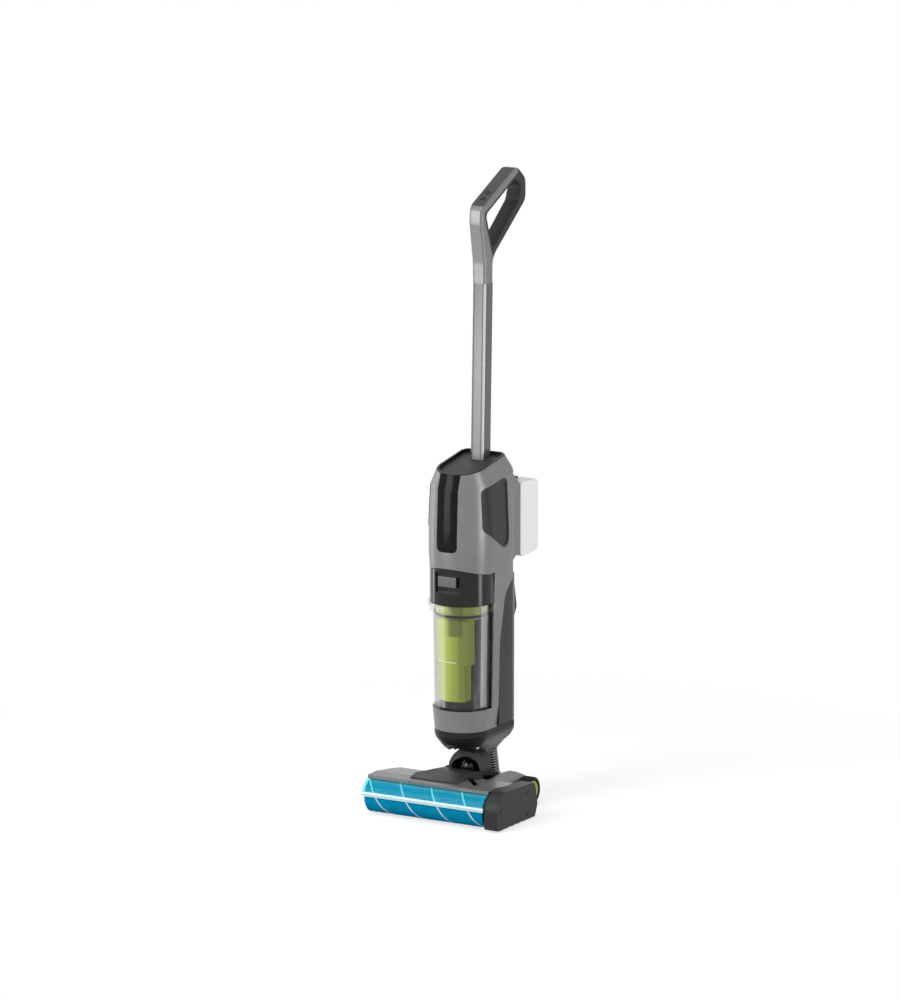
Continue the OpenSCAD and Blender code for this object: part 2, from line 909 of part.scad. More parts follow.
module control_board() {
    color("#2c6b3f") block([-34, 12, 470], [34, 13.6, 570]);
    color(black) {
        block([-20, 13.6, 490], [-4, 18, 510]);
        block([6, 13.6, 520], [26, 17, 540]);
        rod_y(13.6, 24, -18, 548, 6);
    }
}

module water_pump() {
    color(smoke) {
        translate([0, 30, 418.2]) cylinder(r = 12, h = 34);
        translate([0, 30, 452.2]) cylinder(r = 5, h = 8);
    }
}

module housing_screws() {
    color(steel) {
        for (x = HOUSING_SCREW_X) rod_y(housing_rear_y - 2.2, housing_rear_y - 0.4, x, HOUSING_SCREW_Z, 2.5);
        rod_y(CONE_SCREW_FACE, CONE_SCREW_FACE + 5.9, CONE_SCREW[0], CONE_SCREW[1], 2.5);
    }
}

// ---- Pole and handle ----

// Pole section swept from low to high along its leaning axis
module pole_shape(by, low, high) {
    translate([0, pole_base[0], pole_base[1]]) rotate([-pole_lean, 0, 0]) translate([0, 0, low])
        linear_extrude(high - low) polygon(rounded_outline([
            [-pole_width / 2 - by, -pole_depth / 2 - by, 6.5 + by],
            [pole_width / 2 + by, -pole_depth / 2 - by, 6.5 + by],
            [pole_width / 2 + by, pole_depth / 2 + by, 3.5 + by],
            [-pole_width / 2 - by, pole_depth / 2 + by, 3.5 + by]
        ]));
}

module pole() {
    color(charcoal) difference() {
        union() {
            pole_shape(0, -50, pole_top);
            pole_shape(-2.2, pole_top - 1, pole_top + spigot_length);
        }
        pole_shape(-4.4, -51, pole_top + spigot_length + 1);
    }
}

// Side outline of the whole handle
HANDLE = rounded_outline([
    [15.9, 923.6, 0], [15.2, 960, 80], [3, 1032, 30], [5, 1060, 16], [126, 1117, 26],
    [158, 1090, 22], [158, 1051, 24], [44.5, 967, 30], [43.9, 923.6, 0]
]);

// Finger opening
HANDLE_HOLE = rounded_outline([
    [41, 982, 6], [18, 1046, 9], [118, 1094, 12], [140, 1078, 9], [130, 1053, 9]
]);

// Silver front part: the neck, the elbow and the rim along the grip
HANDLE_FRONT = rounded_outline([
    [0, 900, 0], [60, 900, 0], [60, 957, 0], [46, 963, 6], [34, 985, 20], [12, 1048, 8],
    [128, 1103, 0], [134, 1130, 0], [0, 1130, 0]
]);

module handle_slab() {
    along_x(-handle_width / 2, handle_width / 2) children();
}

module strip_solid(lower) {
    intersection() {
        along_x(-handle_width / 2 + 2, handle_width / 2 - 2) polygon(HANDLE);
        on_strip() block([-20, 2, -lower], [20, 122, 30]);
    }
}

module handle_shell() {
    color(silver) difference() {
        handle_slab() intersection() {
            polygon(HANDLE);
            polygon(HANDLE_FRONT);
        }
        handle_slab() polygon(HANDLE_HOLE);
        strip_solid(0.15);
        pole_shape(-2.1, pole_top - 2, pole_top + spigot_length + 1);
        pole_shape(2, pole_top - 20, pole_top + 0.05);
        strip_button(POWER_ALONG, 5.3, -2, 10);
        strip_button(MODE_ALONG, 5.3, -2, 10);
    }
}

module handle_grip() {
    color(charcoal) difference() {
        handle_slab() difference() {
            polygon(HANDLE);
            polygon(HANDLE_FRONT);
            polygon(HANDLE_HOLE);
        }
        strip_solid(0.1);
    }
}

module strip_button(along, radius, low, high) {
    on_strip() translate([0, along, low]) cylinder(r = radius, h = high - low);
}

// Places children on the plane under the grip's strip
module on_strip() {
    translate([0, STRIP_START[0], STRIP_START[1]]) rotate([strip_tilt, 0, 0]) children();
}

module grip_strip() {
    color(charcoal) difference() {
        strip_solid(0);
        strip_button(POWER_ALONG, 5.3, -2, 30);
        strip_button(MODE_ALONG, 5.3, -2, 30);
    }
}

module power_button() {
    color(smoke) strip_button(POWER_ALONG, 5, -0.4, 3.4);
}

module mode_button() {
    color(smoke) strip_button(MODE_ALONG, 5, -0.4, 3.4);
}

// ---- Dirty-water tank ----

module tank_cone(radius_low, radius_high, low, high) {
    translate([0, tank_y, low]) cylinder(r1 = radius_low, r2 = radius_high, h = high - low);
}

module dirty_tank_shell() {
    color(clear, 0.5) difference() {
        union() {
            tank_cone(tank_radius - 3, tank_radius, tank_low_z, lid_low_z - 1);
            // Pouring collar
            intersection() {
                tank_cone(60, 62.5, tank_top_z, lid_low_z - 1);
                block([-80, -120, 0], [80, bay_front_y - 1.5, 500]);
            }
        }
        tank_cone(tank_radius - 5.4, tank_radius - 2.2, tank_low_z + 3, lid_low_z + 5);
    }
}

module lid_solid(by) {
    intersection() {
        union() {
            intersection() {
                translate([0, tank_y, 0]) cylinder(r = 57 - by, h = 500);
                block([-80, -120, 0], [80, bay_front_y - 1.5 - by, 500]);
            }
            translate([0, tank_y, 0]) cylinder(r = tank_radius - by, h = 500);
        }
        under_ceiling(-by);
    }
}

module dirty_tank_lid() {
    color(black) difference() {
        union() {
            intersection() {
                lid_solid(0);
                block([-80, -120, lid_low_z - 0.8], [80, 60, 500]);
            }
            // Plug that enters the tank
            translate([0, tank_y, 350]) cylinder(r = 46, h = 30);
        }
        difference() {
            lid_solid(2.6);
            block([-80, -120, 0], [80, 60, lid_low_z + 3]);
            block([-27, -120, 390], [27, -76, 500]);
        }
        translate([0, tank_y + 4, 340]) cylinder(r = 34, h = 60);
        // Latch recess
        block([-24, -120, 398], [24, -86, 434]);
        block([-18.4, -120, 408.6], [18.4, -78, 427.4]);
        translate([0, tank_y + 4, 420]) cylinder(r = 20, h = 60);
    }
}

module dirty_tank_latch() {
    color(smoke) block([-18, -93, 409], [18, -82.5, 427]);
}

module separator() {
    color(lime) difference() {
        intersection() {
            union() {
                separator_box(32, -90, -50, 268, 349.6);
                separator_box(26, -90, -52, 204, 269);
            }
            tank_cone(tank_radius - 6.4, tank_radius - 3.4, tank_low_z, lid_low_z);
        }
        intersection() {
            union() {
                separator_box(30, -90, -52, 270, 352);
                separator_box(24, -90, -54, 200, 271);
            }
            tank_cone(tank_radius - 8.4, tank_radius - 5.4, tank_low_z, lid_low_z);
        }
    }
    // Float guide
    color(lime) difference() {
        block([-2, -52, 330], [2, -27, 334]);
        translate([0, -24, 320]) cylinder(r = 3.4, h = 30);
    }
}

module separator_box(half_width, front, back, low, high) {
    translate([0, 0, low]) linear_extrude(high - low) polygon(rounded_outline([
        [-half_width, front, 8], [half_width, front, 8], [half_width, back, 3], [-half_width, back, 3]
    ]));
}

module float() {
    color("white") {
        translate([0, -24, 290]) cylinder(r = 11, h = 22);
        translate([0, -24, 300]) cylinder(r = 3, h = 30);
    }
}

module air_filter() {
    color("white") difference() {
        translate([0, tank_y + 4, 352]) cylinder(r = 33.5, h = 44);
        translate([0, tank_y + 4, 351]) cylinder(r = 24, h = 46);
    }
}

module lid_seal() {
    color(black) translate([0, tank_y, 353]) difference() {
        cylinder(r = tank_radius - 2.9, h = 4);
        translate([0, 0, -1]) cylinder(r = 46.05, h = 6);
    }
}

// ---- Clean-water tank ----

function clean_side(inset) = rounded_outline([
    [-9 + inset, 152.5 + inset, 0], [58 - inset, 152.5 + inset, 6], [73 - inset, 340, 60],
    [73 - inset, 412 - inset, 16], [-9 + inset, 412 - inset, 0]
]);

module clean_tank_solid(inset) {
    difference() {
        intersection() {
            linear_extrude(700) polygon(rounded_outline([
                [-54 + inset, -20, 0], [54 - inset, -20, 0],
                [54 - inset, 73 - inset, 35], [-54 + inset, 73 - inset, 35]
            ]));
            along_x(-80, 80) polygon(clean_side(inset));
        }
        translate([0, tank_y, 0]) cylinder(r = spine_radius + 3.6 + inset, h = 700);
        along_x(-80, 80) polygon(frame_edge(0.6 + inset));
    }
}

module clean_tank_shell() {
    color(smoke, 0.8) difference() {
        clean_tank_solid(0);
        clean_tank_solid(2.4);
        translate([FILLER[0], FILLER[1], 380]) cylinder(r = 12.5, h = 60);
        translate([FILLER[0], FILLER[1], 409.5]) cylinder(r = 14.2, h = 10);
    }
    // Ears that carry the latch lever's pins
    color(smoke) both_sides() difference() {
        block([lever_half_width + 0.4, 69.8, lever_pin[1] - 6], [lever_half_width + 4, 83, lever_pin[1] + 6]);
        rod_x(20, 40, lever_pin[0], lever_pin[1], 2.55);
    }
}

module clean_tank_cap() {
    color(black) {
        translate([FILLER[0], FILLER[1], 399]) cylinder(r = 12.3, h = 10.6);
        translate([FILLER[0], FILLER[1], 409.6]) cylinder(r = 14, h = 2.3);
    }
}

module clean_tank_latch() {
    color(charcoal) {
        difference() {
            along_x(-lever_half_width, lever_half_width) polygon(rounded_outline([
                [75, 323, 3], [92, 317, 7], [104.5, 340, 10], [93, 398, 7], [76, 399, 2]
            ]));
            along_x(3 - lever_half_width, lever_half_width - 3)
                polygon([[70, 332], [90, 326], [99, 342], [88, 390], [70, 390]]);
        }
        rod_x(-lever_half_width - 4, lever_half_width + 4, lever_pin[0], lever_pin[1], 2.5);
    }
}

// ---- Battery ----

module battery_case() {
    color("#e8ecec") difference() {
        union() {
            along_x(-battery_half_width, battery_half_width) polygon(rounded_outline([
                [dock_rear_y + 0.5, 431, 8], [dock_rear_y + 0.5 + battery_depth, 433, 12],
                [dock_rear_y + 0.5 + battery_depth, 561, 12], [dock_rear_y + 0.5, 563, 8]
            ]));
            // Stem that enters the dock
            block([-17, 60, 484], [17, dock_rear_y + 1, 522]);
        }
        block([-40 + 3, dock_rear_y + 4, 438], [40 - 3, dock_rear_y + battery_depth - 4, 556]);
        block([-14, 110, 555], [14, 130, 600]);
    }
    // Cells
    color(smoke) for (z = [456, 480, 504, 528]) rod_x(-34, 34, dock_rear_y + 24, z, 9.5);
}

module battery_latch() {
    color(charcoal) block([-13.5, 110.5, 556.5], [13.5, 129.5, 566]);
}

head_base();
head_top_cover();
centre_cover();
left_end_plate();
right_end_cap();
scraper_bar();
squeegee_blade();
water_bar();
suction_duct();
brush_motor();
drive_belt();
wheel_axles();
tilt_pins();
head_screws();
roller_window();
window_latch();
roller_core();
roller_sleeve();
roller_pulley();
motor_pulley();
left_tyre();
left_hub();
right_tyre();
right_hub();
neck_yoke();
swivel_spindle();
pivot_cap();
suction_hose();
lower_cone();
main_frame();
rear_housing();
inner_spine();
top_panel();
front_strip();
side_grilles();
battery_dock();
suction_motor();
motor_fan();
control_board();
water_pump();
pole();
handle_shell();
handle_grip();
grip_strip();
housing_screws();
power_button();
mode_button();
dirty_tank_shell();
dirty_tank_lid();
separator();
air_filter();
lid_seal();
float();
dirty_tank_latch();
clean_tank_shell();
clean_tank_cap();
clean_tank_latch();
battery_case();
battery_latch();
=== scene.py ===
import json
import math

import bmesh
import bpy
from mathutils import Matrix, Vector

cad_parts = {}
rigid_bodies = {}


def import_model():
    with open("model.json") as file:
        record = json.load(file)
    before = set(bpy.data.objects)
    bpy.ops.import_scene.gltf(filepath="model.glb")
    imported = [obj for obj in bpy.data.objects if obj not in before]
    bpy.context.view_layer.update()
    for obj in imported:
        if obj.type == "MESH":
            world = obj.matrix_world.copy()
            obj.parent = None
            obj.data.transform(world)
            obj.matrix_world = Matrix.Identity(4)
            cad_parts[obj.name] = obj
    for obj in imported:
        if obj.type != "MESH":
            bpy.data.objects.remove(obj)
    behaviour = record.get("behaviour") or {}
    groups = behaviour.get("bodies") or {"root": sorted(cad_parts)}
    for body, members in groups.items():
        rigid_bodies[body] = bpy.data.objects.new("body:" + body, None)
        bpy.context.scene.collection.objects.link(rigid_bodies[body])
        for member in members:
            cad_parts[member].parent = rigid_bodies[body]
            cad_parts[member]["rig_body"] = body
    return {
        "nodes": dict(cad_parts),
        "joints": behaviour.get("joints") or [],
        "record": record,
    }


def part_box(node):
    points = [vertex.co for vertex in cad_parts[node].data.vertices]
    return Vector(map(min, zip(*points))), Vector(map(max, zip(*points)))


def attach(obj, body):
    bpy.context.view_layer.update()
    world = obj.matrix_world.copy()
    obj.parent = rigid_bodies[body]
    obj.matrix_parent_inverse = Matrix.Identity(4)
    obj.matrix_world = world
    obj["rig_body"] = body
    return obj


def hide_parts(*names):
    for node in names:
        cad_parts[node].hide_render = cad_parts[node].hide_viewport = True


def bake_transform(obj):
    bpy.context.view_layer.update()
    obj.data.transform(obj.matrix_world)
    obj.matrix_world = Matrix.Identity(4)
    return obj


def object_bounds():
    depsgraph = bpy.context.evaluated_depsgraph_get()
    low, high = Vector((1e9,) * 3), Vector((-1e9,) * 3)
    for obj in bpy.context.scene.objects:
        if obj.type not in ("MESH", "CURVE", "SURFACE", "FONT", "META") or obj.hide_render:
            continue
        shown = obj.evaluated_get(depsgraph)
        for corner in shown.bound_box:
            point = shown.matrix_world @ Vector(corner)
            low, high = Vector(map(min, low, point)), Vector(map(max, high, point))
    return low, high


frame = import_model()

cadLow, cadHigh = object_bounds()
mm = 0.001


def jointPlace(name):
    joint = next(j for j in frame["joints"] if j["name"] == name)
    return Vector(joint["pos_m"])


# ---- camera ----

cameraSettings = {
    "azimuth": 30.4,       # degrees round the front
    "elevation": 12.3,
    "distance": 15.0,
    "target": (-0.0354, -0.0213, 0.5459),
    "viewHeight": 1.7316017,    # metres from the bottom to the top of the picture at the target
    "sensor": 36,
}


def placeCamera(settings):
    across = math.radians(settings["azimuth"])
    up = math.radians(settings["elevation"])
    back = Vector((math.sin(across) * math.cos(up), -math.cos(across) * math.cos(up), math.sin(up)))
    bpy.ops.object.camera_add()
    camera = bpy.context.object
    camera.name = "studioCamera"
    camera.location = Vector(settings["target"]) + back * settings["distance"]
    camera.rotation_mode = "QUATERNION"
    camera.rotation_quaternion = (-back).to_track_quat("-Z", "Y")
    camera.data.sensor_width = settings["sensor"]
    camera.data.lens = settings["sensor"] * settings["distance"] / settings["viewHeight"]
    camera.data.clip_end = 60
    bpy.context.scene.camera = camera


placeCamera(cameraSettings)
print("camera placed")


# ---- materials ----

class Wire:
    # A shader socket that takes + - * / and ** as Math nodes
    def __init__(self, paint, socket):
        self.paint = paint
        self.socket = socket

    def __add__(self, other):
        return self.paint.maths("ADD", self, other)

    def __radd__(self, other):
        return self.paint.maths("ADD", other, self)

    def __sub__(self, other):
        return self.paint.maths("SUBTRACT", self, other)

    def __rsub__(self, other):
        return self.paint.maths("SUBTRACT", other, self)

    def __mul__(self, other):
        return self.paint.maths("MULTIPLY", self, other)

    def __rmul__(self, other):
        return self.paint.maths("MULTIPLY", other, self)

    def __truediv__(self, other):
        return self.paint.maths("DIVIDE", self, other)

    def __pow__(self, other):
        return self.paint.maths("POWER", self, other)


class Paint:
    # One material with a Principled shader
    def __init__(self, name, **fixed):
        self.material = bpy.data.materials.new(name)
        self.material.use_nodes = True
        self.tree = self.material.node_tree
        self.shader = next(n for n in self.tree.nodes if n.type == "BSDF_PRINCIPLED")
        for socket, value in fixed.items():
            self.shader.inputs[socket.replace("_", " ")].default_value = value

    def feed(self, socket, value):
        if isinstance(value, Wire):
            self.tree.links.new(value.socket, socket)
        else:
            socket.default_value = value

    def node(self, kind, settings=None, inputs=None, output=0):
        made = self.tree.nodes.new("ShaderNode" + kind)
        for name, value in (settings or {}).items():
            setattr(made, name, value)
        for name, value in (inputs or {}).items():
            self.feed(made.inputs[name], value)
        return Wire(self, made.outputs[output])

    def maths(self, operation, a, b=0.0, c=0.0):
        return self.node("Math", {"operation": operation}, {0: a, 1: b, 2: c})

    def blend(self, factor, a, b):
        return self.node("Mix", {"data_type": "RGBA"}, {0: factor, 6: a, 7: b}, 2)

    def place(self):
        return self.node("TexCoord", output=3)

    def axes(self):
        split = self.tree.nodes.new("ShaderNodeSeparateXYZ")
        self.feed(split.inputs[0], self.place())
        return [Wire(self, s) for s in split.outputs]

    def stretched(self, scale):
        return self.node("Mapping", inputs={"Vector": self.place(), "Scale": scale})

    def noise(self, scale, detail=3.0, roughness=0.5, where=None):
        return self.node("TexNoise", inputs={"Vector": where or self.place(), "Scale": scale,
                                             "Detail": detail, "Roughness": roughness})

    def step(self, value, low, high):
        return self.node("MapRange", {"interpolation_type": "SMOOTHSTEP"},
                         {"Value": value, "From Min": low, "From Max": high})

    def wear(self, **sockets):
        for socket, value in sockets.items():
            self.feed(self.shader.inputs[socket.replace("_", " ")], value)

    def bump(self, height, depth, strength=1.0):
        self.feed(self.shader.inputs["Normal"], self.node(
            "Bump", inputs={"Height": height, "Distance": depth, "Strength": strength}))

    def band(self, value, middle, width, soft):
        # 1 within width of middle, fading over soft
        off = self.maths("ABSOLUTE", value - middle)
        return 1 - self.step(off, width / 2, width / 2 + soft)

    def finishWith(self, surface):
        self.feed(self.output().inputs["Surface"], surface)

    def output(self):
        return next(n for n in self.tree.nodes if n.type == "OUTPUT_MATERIAL")


def rgb(red, green, blue):
    # sRGB values from 0 to 255 as a linear colour
    def linear(v):
        v /= 255
        return v / 12.92 if v <= 0.04045 else ((v + 0.055) / 1.055) ** 2.4
    return (linear(red), linear(green), linear(blue), 1)


plasticLooks = {
    # name: colour, darker colour, roughness, metallic, coat, specular level, grain scale, grain depth
    "silverPlastic": (rgb(122, 122, 123), rgb(117, 117, 118), 0.34, 0.35, 0.0, 0.5, 700, 0.000006),
    "polePaint": (rgb(112, 113, 114), rgb(107, 108, 109), 0.34, 0.35, 0.0, 0.5, 700, 0.000005),
    "charcoalPlastic": (rgb(52, 52, 54), rgb(46, 46, 48), 0.42, 0.0, 0.0, 0.16, 700, 0.00002),
    "gripRubber": (rgb(88, 89, 92), rgb(80, 81, 84), 0.55, 0.0, 0.0, 0.2, 900, 0.00004),
    "coneBlack": (rgb(36, 36, 38), rgb(31, 31, 33), 0.34, 0.0, 0.0, 0.14, 700, 0.00001),
    "glossBlack": (rgb(17, 17, 19), rgb(14, 14, 16), 0.14, 0.0, 0.0, 0.34, 500, 0.000004),
    "stripBlack": (rgb(20, 20, 22), rgb(17, 17, 19), 0.16, 0.0, 0.0, 0.10, 500, 0.000004),
    "gripCharcoal": (rgb(46, 47, 49), rgb(40, 41, 43), 0.5, 0.0, 0.0, 0.22, 900, 0.00002),
    "blackRubber": (rgb(30, 30, 31), rgb(24, 24, 25), 0.7, 0.0, 0.0, 0.15, 700, 0.00003),
    "limePlastic": (rgb(172, 186, 62), rgb(160, 174, 52), 0.34, 0.0, 0.0, 0.4, 700, 0.00001),
    "smokedPlastic": (rgb(42, 43, 45), rgb(36, 37, 39), 0.24, 0.0, 0.0, 0.2, 600, 0.000005),
    "whiteFoam": (rgb(222, 222, 216), rgb(200, 200, 194), 0.9, 0.0, 0.0, 0.3, 900, 0.0004),
    "greenBoard": (rgb(36, 98, 58), rgb(28, 80, 46), 0.4, 0.0, 0.2, 0.5, 500, 0.00003),
    "paleBattery": (rgb(246, 247, 247), rgb(243, 244, 244), 0.4, 0.0, 0.0, 0.3, 600, 0.000005),
}


def startPlastic(name):
    colour, darker, roughness, metallic, coat, shine, scale, depth = plasticLooks[name]
    paint = Paint(name, Metallic=metallic, Coat_Roughness=0.2, Coat_Weight=coat, Specular_IOR_Level=shine)
    grain = paint.noise(scale, 2.0)
    drift = paint.noise(14, 3.0)
    paint.shade = paint.blend(paint.step(drift + 0.35 * grain, 0.45, 0.95), darker, colour)
    paint.wear(Base_Color=paint.shade)
    paint.wear(Roughness=paint.step(paint.noise(60, 4.0), 0.2, 0.8) * 0.08 + (roughness - 0.04))
    paint.bump(grain, depth)
    return paint


def metal(name, colour, roughness, streak):
    # Turned or brushed metal with fine streaks across one axis
    paint = Paint(name, Metallic=1.0)
    streaks = paint.noise(1.0, 4.0, 0.7, paint.stretched(streak))
    paint.wear(Base_Color=paint.blend(streaks, tuple(0.8 * c for c in colour[:3]) + (1,), colour))
    paint.wear(Roughness=streaks * 0.18 + (roughness - 0.09))
    paint.bump(streaks, 0.00002)
    return paint.material


def clear(name, tint, haze, hazeColour, shine):
    # Thin clear plastic: seen straight through, with a gloss that grows at a glancing angle
    paint = Paint(name, Base_Color=(1, 1, 1, 1), Metallic=1.0, Roughness=0.07)
    through = paint.node("BsdfTransparent", inputs={"Color": tint})
    milk = paint.node("BsdfDiffuse", inputs={"Color": hazeColour})
    body = paint.node("MixShader", inputs={0: paint.noise(30, 3.0) * haze + 0.5 * haze, 1: through, 2: milk})
    glance = paint.maths("MINIMUM", paint.node("Fresnel", inputs={"IOR": 1.45}) * shine, 0.6)
    gloss = Wire(paint, paint.shader.outputs["BSDF"])
    paint.finishWith(paint.node("MixShader", inputs={0: glance, 1: body, 2: gloss}))
    paint.bump(paint.noise(9, 1.0), 0.0001)
    return paint


paints = {name: startPlastic(name) for name in plasticLooks}
materials = {name: paint.material for name, paint in paints.items()}
materials["steel"] = metal("steel", rgb(196, 198, 202), 0.28, (40, 900, 900))
materials["motorAlloy"] = metal("motorAlloy", rgb(168, 170, 174), 0.4, (300, 300, 1400))
print("plain finishes ready")


# Clear tank: a little grey-green
tankLook = {
    "tint": (0.95, 0.965, 0.96, 1),
    "haze": 0.012,
    "hazeColour": rgb(225, 230, 228),
    "shine": 0.38,
}


def paintTank(settings):
    tint, haze, shine = settings["tint"], settings["haze"], settings["shine"]
    paint = clear("tankClear", tint, haze, settings["hazeColour"], shine)
    return paint.material


# Roller window: clear, with its thick lower rim painted milky white, a painted highlight for the light
# caught in the clear edge
windowLook = {
    "tint": (0.74, 0.99, 0.98, 1),
    "haze": 0.05,
    "hazeColour": rgb(40, 214, 226),
    "shine": 0.11,
    "rimHeight": 0.0072,
    "rimSoft": 0.0006,
    "rimHighlightColour": rgb(225, 248, 252),
    "rimRoughness": 0.18,
    "rimCover": 0.86,
    "lineHeight": 0.0036,   # a clearer line along the middle of the rim
    "lineWidth": 0.0008,
    "lineSoft": 0.0005,
    "lineShare": 0.55,
}


def paintWindow(settings):
    low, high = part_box("roller_window")
    tint, haze, shine = settings["tint"], settings["haze"], settings["shine"]
    paint = clear("windowClear", tint, haze, settings["hazeColour"], shine)
    height = paint.axes()[2] - low.z
    soft = settings["rimSoft"]
    rim = 1 - paint.step(height, settings["rimHeight"] - soft, settings["rimHeight"] + soft)
    line = paint.band(height, settings["lineHeight"], settings["lineWidth"], settings["lineSoft"])
    glass = Wire(paint, paint.output().inputs["Surface"].links[0].from_socket)
    # A milky white shader over the rim: a painted highlight
    rimHighlight = paint.tree.nodes.new("ShaderNodeBsdfPrincipled")
    rimHighlight.inputs["Base Color"].default_value = settings["rimHighlightColour"]
    rimHighlight.inputs["Roughness"].default_value = settings["rimRoughness"]
    cover = rim * (1 - settings["lineShare"] * line) * settings["rimCover"]
    paint.finishWith(paint.node("MixShader", inputs={0: cover, 1: glass, 2: Wire(paint, rimHighlight.outputs[0])}))
    return paint.material


# Microfibre: deep blue loops with thin white scrubbing lines that wind round the roller
napLook = {
    "deep": rgb(0, 126, 172),
    "bright": rgb(4, 166, 206),
    "line": rgb(214, 236, 244),
    "lead": 0.1234,         # length of one turn of a line
    "starts": 2,
    "lineWidth": 0.0034,
    "lineAt": 0.0462,       # where a line crosses the top
    "lineCover": 0.85,
    "ragged": 0.0012,
    "tuftDepth": 0.0009,
}


def paintNap(settings):
    centre = jointPlace("roller_spin")
    paint = Paint("microfibreBlue", Roughness=0.92, Specular_IOR_Level=0.05)
    x, y, z = paint.axes()
    turn = paint.maths("ARCTAN2", centre.y - y, z - centre.z)
    spacing = settings["lead"] / settings["starts"]
    wound = x / spacing - turn * (settings["starts"] / (2 * math.pi)) - settings["lineAt"] / spacing + 0.5
    off = paint.maths("ABSOLUTE", paint.maths("FRACT", wound) - 0.5) * spacing
    ragged = paint.noise(900, 3.0)
    half = settings["lineWidth"] / 2
    line = 1 - paint.step(off + settings["ragged"] * (ragged - 0.5), half - 0.0004, half + 0.0005)
    tufts = paint.noise(420, 4.0, 0.7)
    nap = paint.blend(paint.step(tufts, 0.35, 0.7), settings["deep"], settings["bright"])
    paint.wear(Base_Color=paint.blend(line * settings["lineCover"], nap, settings["line"]))
    paint.bump(tufts, settings["tuftDepth"])
    return paint.material


# Separator: one lime moulding with painted light on its left side and painted shade on its right, darker
# again in a block from its middle to its right above a set height
separatorLook = {
    # The light colour is painted light on the left side, and the olive colour is painted shade on the right
    # side
    "light": rgb(196, 206, 92),
    "plain": rgb(160, 170, 48),
    "shadedLime": rgb(120, 130, 26),
    "dark": rgb(96, 104, 6),
    "levelLine": rgb(236, 242, 190),
    "paintedLightTo": (-0.016, 0.012),     # x where the light side fades out
    "shadeFrom": (0.012, 0.020),
    "shadeShare": 0.75,
    "darkBlockFrom": (-0.008, 0.006),
    "darkBlockRight": 0.024,
    "darkBlockFoot": 0.321,
    "darkBlockEdge": 0.0008,
    "darkBlockShare": 0.9,
    "lineHeight": 0.274,
    "lineWidth": 0.0011,
    "lineTo": (0.012, 0.014),
}


def paintSeparator(settings):
    paint = Paint("separatorLime", Roughness=0.3, Specular_IOR_Level=0.45)
    x, y, z = paint.axes()
    # Painted light on the left side and painted shade on the right side
    shade = paint.blend(paint.step(x, *settings["paintedLightTo"]), settings["light"], settings["plain"])
    toShade = paint.step(x, *settings["shadeFrom"]) * settings["shadeShare"]
    shade = paint.blend(toShade, shade, settings["shadedLime"])
    # Darker in a block from the middle to the right, above a set height
    right, foot, edge = settings["darkBlockRight"], settings["darkBlockFoot"], settings["darkBlockEdge"]
    inDarkBlock = paint.step(x, *settings["darkBlockFrom"]) * (1 - paint.step(x, right - edge, right))
    inDarkBlock = inDarkBlock * paint.step(z, foot - edge, foot)
    shade = paint.blend(inDarkBlock * settings["darkBlockShare"], shade, settings["dark"])
    line = paint.band(z, settings["lineHeight"], settings["lineWidth"], 0.0004)
    line = line * (1 - paint.step(x, *settings["lineTo"]))
    paint.wear(Base_Color=paint.blend(line, shade, settings["levelLine"]))
    paint.wear(Roughness=paint.noise(50, 3.0) * 0.08 + 0.26)
    paint.bump(paint.noise(700, 2.0), 0.00003)
    return paint.material


# Lower cone: a fine groove round it under the frame
coneLook = {
    "groove": rgb(18, 18, 19),
    "grooveHeight": 0.1355,
    "grooveWidth": 0.0012,
    "grooveShare": 0.7,
    "grooveDepth": 0.0006,
}


def paintCone(settings):
    paint = paints["coneBlack"]
    z = paint.axes()[2]
    groove = paint.band(z, settings["grooveHeight"], settings["grooveWidth"], 0.0006)
    paint.wear(Base_Color=paint.blend(groove * settings["grooveShare"], paint.shade, settings["groove"]))
    paint.bump(paint.noise(700, 2.0) * 0.01 - groove, settings["grooveDepth"])


# Pole: satin paint, with painted shade to its sides and top and a painted highlight along its front corner
poleLook = {
    # The line colour is a painted highlight along the front corner; the shadow colour is painted shade to
    # the sides and top
    "line": rgb(196, 198, 200),
    "from": 0.0098,
    "to": 0.0124,
    "lineDepth": 0.009,
    "lean": 1.5,                    # degrees the pole's front leans back
    "shadow": rgb(70, 71, 72),
    "sideFrom": (0.004, 0.012),
    "sideShare": 0.55,
    "topFrom": (0.16, 0.02),        # below the pole's top
    "topShare": 0.6,
}


def paintPole(settings):
    low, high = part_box("pole")
    paint = paints["polePaint"]
    x, y, z = paint.axes()
    # A painted highlight along the front corner
    along = paint.step(x, settings["from"] - 0.0004, settings["from"] + 0.0002)
    along = along * (1 - paint.step(x, settings["to"], settings["to"] + 0.0005))
    front = low.y + (z - low.z) * math.tan(math.radians(settings["lean"]))
    corner = along * (1 - paint.step(y - front, settings["lineDepth"], settings["lineDepth"] + 0.001))
    # Painted shade towards the sides and the top
    sides = paint.step(paint.maths("ABSOLUTE", x), *settings["sideFrom"]) * settings["sideShare"]
    topLow, topHigh = settings["topFrom"]
    top = paint.step(z, high.z - topLow, high.z - topHigh) * settings["topShare"]
    shade = paint.blend(paint.maths("MAXIMUM", sides, top), paint.shade, settings["shadow"])
    paint.wear(Base_Color=paint.blend(corner, shade, settings["line"]))
    paint.wear(Roughness=0.34 - 0.14 * corner)


# Lid button: dark metallic plastic
buttonLook = {"dark": rgb(84, 85, 87), "light": rgb(98, 99, 101), "metallic": 0.7}


def paintButton(settings):
    paint = Paint("buttonPlastic", Metallic=settings["metallic"])
    paint.wear(Base_Color=paint.blend(paint.noise(30, 3.0), settings["dark"], settings["light"]))
    paint.wear(Roughness=paint.noise(120, 3.0) * 0.1 + 0.2)
    return paint.material


